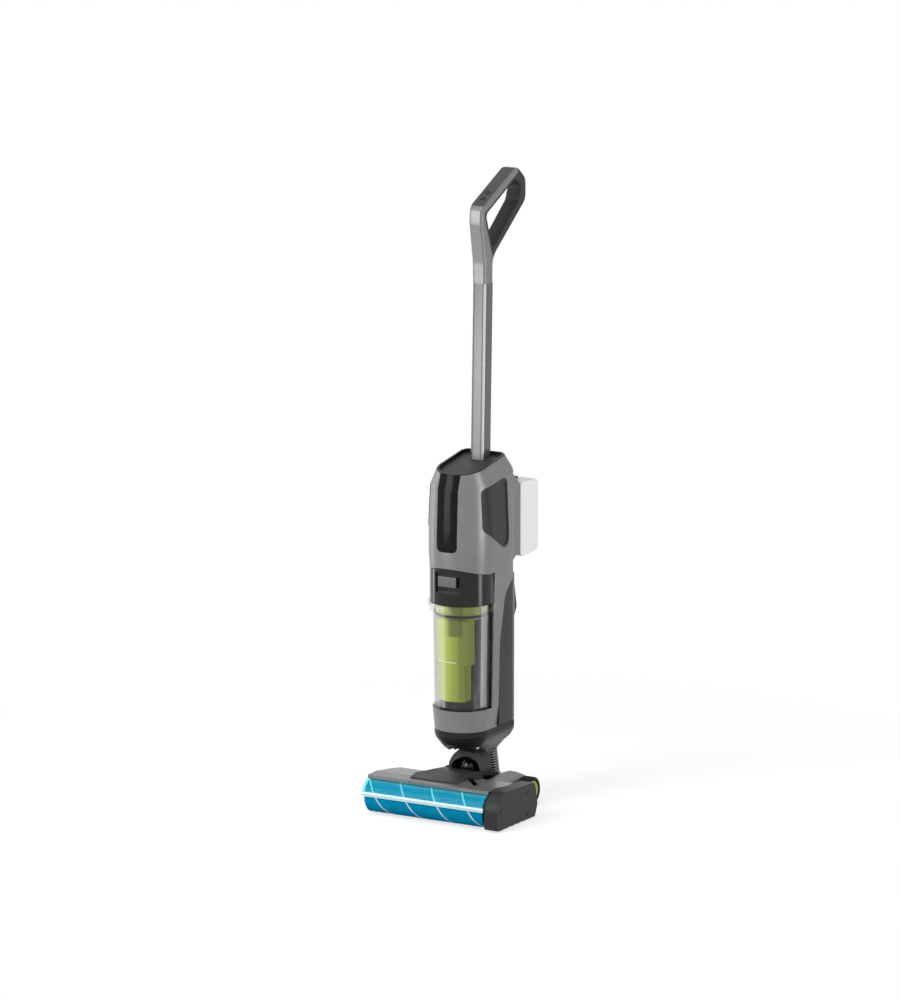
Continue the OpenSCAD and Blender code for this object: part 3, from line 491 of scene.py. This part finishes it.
# Ribs of the hose: worn grey plastic with a metallic look
ribLook = {"dark": rgb(104, 106, 109), "light": rgb(150, 152, 155), "metallic": 0.6}


def paintRibs(settings):
    paint = Paint("ribPlastic", Metallic=settings["metallic"], Specular_IOR_Level=0.5)
    paint.wear(Base_Color=paint.blend(paint.noise(90, 3.0), settings["dark"], settings["light"]))
    paint.wear(Roughness=paint.noise(200, 3.0) * 0.1 + 0.12)
    return paint.material


# Grip strip: fine dimples all over, painted darker in their hollows as painted shade
stripLook = {"dimple": 0.0022, "dimpleShade": rgb(62, 63, 65), "dimpleShadeShare": 0.6, "depth": 0.0004}


def paintStrip(settings):
    paint = paints["gripRubber"]
    cells = paint.node("TexVoronoi", inputs={"Vector": paint.place(), "Scale": 1 / settings["dimple"]})
    cup = paint.step(cells, 0.1, 0.45)
    # Painted shade in the dimple hollows
    paint.wear(Base_Color=paint.blend(cup * settings["dimpleShadeShare"], settings["dimpleShade"], paint.shade))
    paint.bump(cup, settings["depth"])


# Side vents: rows of small holes along the front of each field, painted as dark dots of painted shade with a
# shallow bump
ventLook = {
    "pitch": 0.0036,
    "hole": 0.0010,
    "start": (-0.058, 0.575),       # y and z of a point on the field's front edge
    "slant": 0.13,
    "inset": 0.004,
    "rows": 0.011,
    "dark": rgb(48, 48, 50),
    "light": rgb(56, 56, 58),
    "holeShade": rgb(14, 14, 15),
    "depth": 0.0004,
}


def paintVents(settings):
    paint = Paint("ventPlastic", Specular_IOR_Level=0.16, Roughness=0.42)
    x, y, z = paint.axes()
    pitch, radius = settings["pitch"], settings["hole"]
    across = paint.maths("ABSOLUTE", paint.maths("FRACT", y / pitch) - 0.5) * pitch
    along = paint.maths("ABSOLUTE", paint.maths("FRACT", z / pitch) - 0.5) * pitch
    hole = 1 - paint.step((across ** 2 + along ** 2) ** 0.5, radius - 0.0003, radius + 0.0002)
    startY, startZ = settings["start"]
    away = y - startY + (z - startZ) * settings["slant"]
    inset, rows = settings["inset"], settings["rows"]
    near = paint.step(away, inset, inset + 0.0002) * (1 - paint.step(away, rows, rows + 0.003))
    shade = paint.blend(paint.noise(14, 3.0), settings["dark"], settings["light"])
    # The holes are dark dots of painted shade
    paint.wear(Base_Color=paint.blend(hole * near, shade, settings["holeShade"]))
    paint.bump(1 - hole * near, settings["depth"])
    return paint.material


# Tyre: short tread bars round the rim
tyreLook = {"bars": 44, "treadFrom": 0.0021, "treadTo": 0.0014, "depth": 0.0009}


def paintTyre(settings):
    centre = jointPlace("right_wheel_spin")
    low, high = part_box("right_tyre")
    radius = (high.z - low.z) / 2
    paint = paints["blackRubber"]
    x, y, z = paint.axes()
    turn = paint.maths("ARCTAN2", y - centre.y, z - centre.z)
    bars = paint.step(paint.maths("SINE", turn * settings["bars"]), -0.5, 0.1)
    across = (y - centre.y) ** 2 + (z - centre.z) ** 2
    inner, outer = radius - settings["treadFrom"], radius - settings["treadTo"]
    paint.bump(bars * paint.step(across, inner ** 2, outer ** 2), settings["depth"])


paintCone(coneLook)
paintPole(poleLook)
paintStrip(stripLook)
paintTyre(tyreLook)
materials["buttonPlastic"] = paintButton(buttonLook)
materials["ribPlastic"] = paintRibs(ribLook)
materials["ventPlastic"] = paintVents(ventLook)
materials["clearPlastic"] = paintTank(tankLook)
materials["windowClear"] = paintWindow(windowLook)
materials["microfibreBlue"] = paintNap(napLook)
materials["separatorLime"] = paintSeparator(separatorLook)
print("patterned finishes ready")

slotMaterials = {
    "silver_plastic": "silverPlastic", "charcoal_plastic": "charcoalPlastic", "black_gloss": "glossBlack",
    "black_rubber": "blackRubber", "steel": "steel", "motor_alloy": "motorAlloy",
    "lime_plastic": "limePlastic", "smoked_plastic": "smokedPlastic", "clear_plastic": "clearPlastic",
    "blue_microfibre": "microfibreBlue", "green_board": "greenBoard", "white_foam": "whiteFoam",
    "frosted_plastic": "paleBattery",
}
nodeMaterials = {
    # nodes whose finish differs from the rest of their slot
    "roller_window": "windowClear", "separator": "separatorLime", "pole": "polePaint",
    "lower_cone": "coneBlack", "inner_spine": "coneBlack", "head_base": "coneBlack",
    "grip_strip": "gripRubber", "handle_grip": "gripCharcoal",
    "power_button": "gripCharcoal", "mode_button": "gripCharcoal",
    "front_strip": "stripBlack", "pivot_cap": "glossBlack", "side_grilles": "ventPlastic",
    "dirty_tank_latch": "buttonPlastic", "swivel_spindle": "steel", "suction_hose": "smokedPlastic",
}


def dressNodes():
    for row in frame["record"]["subparts"]:
        look = nodeMaterials.get(row["node"], slotMaterials[row["material_slot"]])
        for place in frame["nodes"][row["node"]].material_slots:
            place.material = materials[look]


dressNodes()
print("solids dressed")


# ---- modelling helpers ----

def takeUp(piece):
    bpy.ops.object.select_all(action="DESELECT")
    piece.select_set(True)
    bpy.context.view_layer.objects.active = piece


def pick(piece, wanted, kind="FACE"):
    # In edit mode, selects the faces, edges or vertices that wanted() says yes to
    bpy.ops.mesh.select_mode(type=kind)
    bpy.ops.mesh.select_all(action="DESELECT")
    mesh = bmesh.from_edit_mesh(piece.data)
    for part in {"FACE": mesh.faces, "EDGE": mesh.edges, "VERT": mesh.verts}[kind]:
        if wanted(part):
            part.select_set(True)
    mesh.select_flush_mode()
    bmesh.update_edit_mesh(piece.data)


def edit(piece):
    takeUp(piece)
    bpy.ops.object.mode_set(mode="EDIT")


def leaveEdit():
    bpy.ops.object.mode_set(mode="OBJECT")


def applyModifier(piece, kind, **settings):
    takeUp(piece)
    modifier = piece.modifiers.new(kind.lower(), kind)
    for name, value in settings.items():
        setattr(modifier, name, value)
    bpy.ops.object.modifier_apply(modifier=modifier.name)


def standFor(node):
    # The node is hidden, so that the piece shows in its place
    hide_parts(node)


def freshCopy(node, name):
    # A node's own shape as one closed mesh with whole faces
    source = frame["nodes"][node]
    piece = bpy.data.objects.new(name, source.data.copy())
    bpy.context.scene.collection.objects.link(piece)
    edit(piece)
    bpy.ops.mesh.select_all(action="SELECT")
    bpy.ops.mesh.remove_doubles(threshold=0.00001)
    bpy.ops.mesh.dissolve_limited(angle_limit=math.radians(0.6))
    leaveEdit()
    return piece


def softCopy(node, name, width, segments, smoothUnder=35, within=None):
    # A node's own shape with its edges rounded, cut back to another piece where one is given
    piece = freshCopy(node, name)
    applyModifier(piece, "BEVEL", width=width, segments=segments, limit_method="ANGLE",
                  angle_limit=math.radians(32), use_clamp_overlap=True, miter_outer="MITER_ARC")
    if within:
        # The manifold solver: the exact one leaves nothing of the grip
        applyModifier(piece, "BOOLEAN", operation="INTERSECT", object=within, solver="MANIFOLD")
    takeUp(piece)
    bpy.ops.object.shade_smooth_by_angle(angle=math.radians(smoothUnder))
    applyModifier(piece, "WEIGHTED_NORMAL", keep_sharp=True)
    standFor(node)
    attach(piece, frame["nodes"][node]["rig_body"])
    return piece


def traceOutline(name, points):
    # A chain of edges through the points, left in edit mode
    bpy.ops.object.select_all(action="DESELECT")
    bpy.ops.mesh.primitive_plane_add(size=0.001, location=points[0])
    piece = bpy.context.object
    piece.name = name
    bpy.ops.object.transform_apply(location=True, rotation=True, scale=True)
    edit(piece)
    bpy.ops.mesh.select_mode(type="VERT")
    bpy.ops.mesh.select_all(action="SELECT")
    bpy.ops.mesh.merge(type="CENTER")
    for before, after in zip(points, points[1:]):
        bpy.ops.mesh.extrude_vertices_move(
            TRANSFORM_OT_translate={"value": tuple(Vector(after) - Vector(before))})
    return piece


def spinOutline(name, points, centre, axis, steps, smoothUnder):
    piece = traceOutline(name, points)
    bpy.ops.mesh.select_all(action="SELECT")
    bpy.ops.mesh.spin(steps=steps, angle=2 * math.pi, center=centre, axis=axis)
    bpy.ops.mesh.select_all(action="SELECT")
    bpy.ops.mesh.remove_doubles(threshold=0.00001)
    bpy.ops.mesh.normals_make_consistent(inside=False)
    leaveEdit()
    takeUp(piece)
    bpy.ops.object.shade_smooth_by_angle(angle=math.radians(smoothUnder))
    return piece


# ---- shells, covers and small parts with rounded edges ----

softPieces = {
    # node: name, edge radius in mm, segments
    "main_frame": ("silverFrame", 0.7, 2),
    "rear_housing": ("rearShell", 0.7, 2),
    "battery_dock": ("batteryDock", 1.2, 3),
    "front_strip": ("glossStrip", 0.5, 2),
    "side_grilles": ("sideVents", 0.5, 2),
    "top_panel": ("topPanel", 0.6, 2),
    "neck_yoke": ("neckArch", 1.6, 3),
    "pivot_cap": ("pivotDome", 0.6, 2),
    "head_top_cover": ("headCover", 1.2, 3),
    "centre_cover": ("centreCover", 1.6, 3),
    "left_end_plate": ("leftPlate", 1.0, 2),
    "right_end_cap": ("driveCap", 2.6, 4),
    "pole": ("pole", 0.3, 2),
    "head_base": ("headBase", 0.8, 2),
    "window_latch": ("windowCatch", 0.4, 2),
    "dirty_tank_lid": ("tankLid", 0.8, 3),
    "dirty_tank_latch": ("lidButton", 0.8, 3),
    "separator": ("limeSeparator", 1.4, 3),
    "clean_tank_shell": ("cleanTank", 1.2, 3),
    "clean_tank_latch": ("pullLever", 1.4, 3),
    "grip_strip": ("gripStrip", 0.4, 2),
    "power_button": ("powerButton", 0.4, 2),
    "mode_button": ("modeButton", 0.4, 2),
    "battery_case": ("batteryPack", 1.6, 3),
    "battery_latch": ("packCatch", 0.6, 2),
    "left_tyre": ("leftTyre", 2.2, 4),
    "right_tyre": ("rightTyre", 2.2, 4),
    "left_hub": ("leftHub", 1.0, 3),
    "right_hub": ("rightHub", 1.0, 3),
    "scraper_bar": ("scraperBar", 0.4, 2),
    "squeegee_blade": ("squeegeeBlade", 0.3, 2),
    "suction_motor": ("suctionMotor", 1.2, 3),
    "brush_motor": ("brushMotor", 1.0, 3),
}
pieces = {}
for node, (name, radius, segments) in softPieces.items():
    pieces[node] = softCopy(node, name, radius * mm, segments)
print("edges rounded:", len(pieces))


# ---- handle ----

handleShape = {
    # side outline as (y, z, corner radius) in mm, carried on below the seam with the pole
    "outline": [(16.1, 913, 0), (15.2, 960, 80), (3, 1032, 30), (5, 1060, 16), (126, 1117, 26),
                (158, 1090, 22), (158, 1051, 24), (44.5, 967, 30), (43.7, 913, 0)],
    "edgeRadius": 5.5,
    "edgeSteps": 7,
    "cornerSteps": 14,
    "rimAngle": 1.2,        # radians between the flat side and the wall round it
    "spare": 0.05,          # how far the slab stands outside the handle
}


def roundCorners(corners, steps):
    # The outline's points, with an arc at each corner that has a radius
    points = []
    for i, (y, z, radius) in enumerate(corners):
        corner = Vector((y, z))
        before = (Vector(corners[i - 1][:2]) - corner).normalized()
        after = (Vector(corners[(i + 1) % len(corners)][:2]) - corner).normalized()
        if radius == 0:
            points.append(corner)
            continue
        half = before.angle(after) / 2
        centre = corner + (before + after).normalized() * (radius / math.sin(half))
        start = corner + before * (radius / math.tan(half)) - centre
        turn = start.angle_signed(corner + after * (radius / math.tan(half)) - centre)
        for step in range(steps + 1):
            a = -turn * step / steps
            points.append(centre + Vector((start.x * math.cos(a) - start.y * math.sin(a),
                                           start.x * math.sin(a) + start.y * math.cos(a))))
    return points


def makeHandle(settings):
    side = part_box("handle_shell")[1].x + settings["spare"] * mm
    corners = roundCorners(settings["outline"], settings["cornerSteps"])
    points = [Vector((-side, p.x * mm, p.y * mm)) for p in corners]
    slab = traceOutline("handleSlab", points + points[:1])
    bpy.ops.mesh.select_all(action="SELECT")
    bpy.ops.mesh.remove_doubles(threshold=0.00001)
    bpy.ops.mesh.edge_face_add()
    bpy.ops.mesh.extrude_region_move(TRANSFORM_OT_translate={"value": (2 * side, 0, 0)})
    bpy.ops.mesh.select_all(action="SELECT")
    bpy.ops.mesh.normals_make_consistent(inside=False)
    pick(slab, lambda face: abs(face.normal.x) < 0.5)
    bpy.ops.transform.shrink_fatten(value=settings["spare"] * mm, use_even_offset=True)

    def onRim(edge):
        along = abs(edge.verts[0].co.x - edge.verts[1].co.x) < mm
        return along and edge.calc_face_angle(0) > settings["rimAngle"]

    pick(slab, onRim, "EDGE")
    bpy.ops.mesh.bevel(offset=settings["edgeRadius"] * mm, segments=settings["edgeSteps"], affect="EDGES",
                       clamp_overlap=False)
    leaveEdit()
    pieces["handle_shell"] = softCopy("handle_shell", "silverHandle", 0.6 * mm, 2, 40, slab)
    pieces["handle_grip"] = softCopy("handle_grip", "darkGrip", 0.8 * mm, 2, 40, slab)
    bpy.data.objects.remove(slab)


makeHandle(handleShape)
print("handle rounded")


# The frame's faces inside the tank bay take the cone's black finish
bayLook = {"axis": (0.0, -0.038), "radius": 0.0556, "low": 0.1885, "high": 0.442}


def blackenBay(piece, settings):
    piece.data.materials.append(materials["coneBlack"])
    centre = Vector(settings["axis"])
    for face in piece.data.polygons:
        place = face.center
        outward = Vector((place.x, place.y)) - centre
        inside = settings["low"] < place.z < settings["high"] and outward.length < settings["radius"]
        if inside and outward.dot(face.normal.xy) < 0:
            face.material_index = 1


blackenBay(pieces["main_frame"], bayLook)


# The lid's plug carries the filter and is lime like the separator
plugLook = {"axis": (0.0, -0.038), "radius": 0.0475, "top": 0.3755}


def limePlug(piece, settings):
    piece.data.materials.append(materials["separatorLime"])
    for face in piece.data.polygons:
        away = (face.center.xy - Vector(settings["axis"])).length
        if face.center.z < settings["top"] and away < settings["radius"]:
            face.material_index = 1


limePlug(pieces["dirty_tank_lid"], plugLook)


# ---- roller sleeve ----

napShape = {"around": 160, "along": 110, "tuft": 0.0007, "tuftSize": 0.0035, "endRing": 0.004}


def makeNap(settings):
    low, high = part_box("roller_sleeve")
    centre = (low + high) / 2
    radius = (high.z - low.z) / 2 - settings["tuft"] * 0.6
    bpy.ops.object.select_all(action="DESELECT")
    bpy.ops.mesh.primitive_cylinder_add(vertices=settings["around"], radius=radius, depth=high.x - low.x,
                                        location=centre, rotation=(0, math.pi / 2, 0))
    sleeve = bpy.context.object
    sleeve.name = "microfibreSleeve"
    bpy.ops.object.transform_apply(location=True, rotation=True, scale=True)
    edit(sleeve)
    pick(sleeve, lambda edge: abs((edge.verts[0].co - edge.verts[1].co).x) > 0.01, "EDGE")
    bpy.ops.mesh.subdivide(number_cuts=settings["along"])
    pick(sleeve, lambda face: abs(face.normal.x) > 0.9)
    bpy.ops.mesh.inset(thickness=settings["endRing"])
    bpy.ops.mesh.inset(thickness=settings["endRing"])
    leaveEdit()
    tufts = bpy.data.textures.new("tufts", "CLOUDS")
    tufts.noise_scale = settings["tuftSize"]
    applyModifier(sleeve, "DISPLACE", texture=tufts, texture_coords="LOCAL", mid_level=1.0,
                  strength=settings["tuft"] * 2)
    takeUp(sleeve)
    bpy.ops.object.shade_smooth_by_angle(angle=math.radians(60))
    sleeve.data.materials.append(materials["microfibreBlue"])
    standFor("roller_sleeve")
    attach(sleeve, "roller")


makeNap(napShape)
print("roller wound")


# ---- ribbed hose between head and neck ----

hoseShape = {
    "foot": (0.0, 0.064, 0.0455),
    "top": (0.0, 0.053, 0.098),
    "radius": 0.014,
    "valley": 0.0022,
    "wall": 0.0012,
    "pitch": 0.0048,
    # place along the pitch, height over the valley
    "rib": [(0.06, 0), (0.3, 0), (0.38, 0.0018), (0.55, 0.0022), (0.72, 0.0018), (0.8, 0)],
    "crestFrom": 0.0008,    # the height from which a rib has its own finish
    "steps": 48,
    "bendShare": 0.65,      # a share of the hose's length
}


def makeHose(settings):
    foot, top = Vector(settings["foot"]), Vector(settings["top"])
    line = top - foot
    along = line.normalized()
    ribs = int(line.length / settings["pitch"])
    step = line.length / ribs
    inner = settings["radius"] - settings["valley"]
    bore = Vector((inner - settings["wall"], 0, 0))
    points = [foot + bore]
    for i in range(ribs):
        start = foot + along * step * i
        for share, height in settings["rib"]:
            points.append(start + along * step * share + Vector((inner + height, 0, 0)))
    points.append(top + Vector((inner, 0, 0)))
    points.append(top + bore)
    hose = spinOutline("ribbedHose", points, foot, along, settings["steps"], 60)
    hose.data.materials.append(materials["smokedPlastic"])
    hose.data.materials.append(materials["ribPlastic"])
    for face in hose.data.polygons:
        off = face.center - foot
        if (off - along * off.dot(along)).length > inner + settings["crestFrom"]:
            face.material_index = 1
    standFor("suction_hose")
    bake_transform(hose)


makeHose(hoseShape)
print("hose ribbed")


# ---- floor, background and lamps ----

studio = {
    "floorRadius": 1.6,
    "floorShade": 0.5,       # what the lamps light
    "floorGlow": 0.66,       # what makes the background white
    "fadeFrom": 0.35,
    "fadeTo": 1.1,
    "ambient": 0.3,
    # azimuth, elevation, distance, width, height, power, aim height
    "lamps": {
        "rightStrip": (93, 6, 1.9, 0.45, 1.8, 16, 0.5),
        "leftStrip": (-92, 6, 1.9, 0.3, 1.8, 6, 0.5),
        "frontLeftBox": (-24, 12, 1.9, 0.8, 1.5, 24, 0.55),
        "topBox": (-6, 64, 2.2, 1.2, 1.2, 15, 0.4),
    },
}


def seenRays(paint):
    path = paint.tree.nodes.new("ShaderNodeLightPath")
    rays = [Wire(paint, path.outputs[name])
            for name in ("Is Camera Ray", "Is Glossy Ray", "Is Transmission Ray")]
    return paint.maths("MAXIMUM", paint.maths("MAXIMUM", rays[0], rays[1]), rays[2])


class Backdrop(Paint):
    # A node tree without a Principled shader
    def __init__(self, tree):
        self.tree = tree
        tree.nodes.clear()


def makeFloor(settings):
    bpy.ops.object.select_all(action="DESELECT")
    bpy.ops.mesh.primitive_circle_add(vertices=96, radius=settings["floorRadius"], fill_type="NGON",
                                      location=(0, 0, cadLow.z))
    floor = bpy.context.object
    floor.name = "studioFloor"
    material = bpy.data.materials.new("studioFloor")
    material.use_nodes = True
    paint = Backdrop(material.node_tree)
    spread = paint.node("VectorMath", {"operation": "LENGTH"}, {0: paint.place()}, 1)
    far = paint.step(spread, settings["fadeFrom"], settings["fadeTo"])
    lit = paint.node("BsdfDiffuse", inputs={"Color": (settings["floorShade"],) * 3 + (1,)})
    glow = paint.node("Emission", inputs={"Color": (1, 1, 1, 1),
                                          "Strength": settings["floorGlow"] * seenRays(paint)})
    near = paint.node("AddShader", inputs={0: lit, 1: glow})
    away = paint.node("Emission", inputs={"Color": (1, 1, 1, 1), "Strength": 1.0})
    out = paint.tree.nodes.new("ShaderNodeOutputMaterial")
    paint.feed(out.inputs["Surface"], paint.node("MixShader", inputs={0: far, 1: near, 2: away}))
    floor.data.materials.append(material)


def makeWorld(settings):
    world = bpy.data.worlds.new("studioWorld")
    bpy.context.scene.world = world
    world.use_nodes = True
    paint = Backdrop(world.node_tree)
    seen = seenRays(paint)
    strength = seen * (1 - settings["ambient"]) + settings["ambient"]
    out = paint.tree.nodes.new("ShaderNodeOutputWorld")
    paint.feed(out.inputs["Surface"], paint.node(
        "Background", inputs={"Color": (1, 1, 1, 1), "Strength": strength}))


def makeLamps(settings):
    for name, (across, up, distance, width, height, power, aim) in settings["lamps"].items():
        a, e = math.radians(across), math.radians(up)
        back = Vector((math.sin(a) * math.cos(e), -math.cos(a) * math.cos(e), math.sin(e)))
        bpy.ops.object.light_add(type="AREA")
        lamp = bpy.context.object
        lamp.name = name
        lamp.data.shape = "RECTANGLE"
        lamp.data.size, lamp.data.size_y = width, height
        lamp.data.energy = power
        lamp.location = Vector((0, 0, aim)) + back * distance
        lamp.rotation_mode = "QUATERNION"
        lamp.rotation_quaternion = (-back).to_track_quat("-Z", "Y")


makeFloor(studio)
makeWorld(studio)
makeLamps(studio)
bpy.context.scene.view_settings.view_transform = "Standard"
print("studio lit")
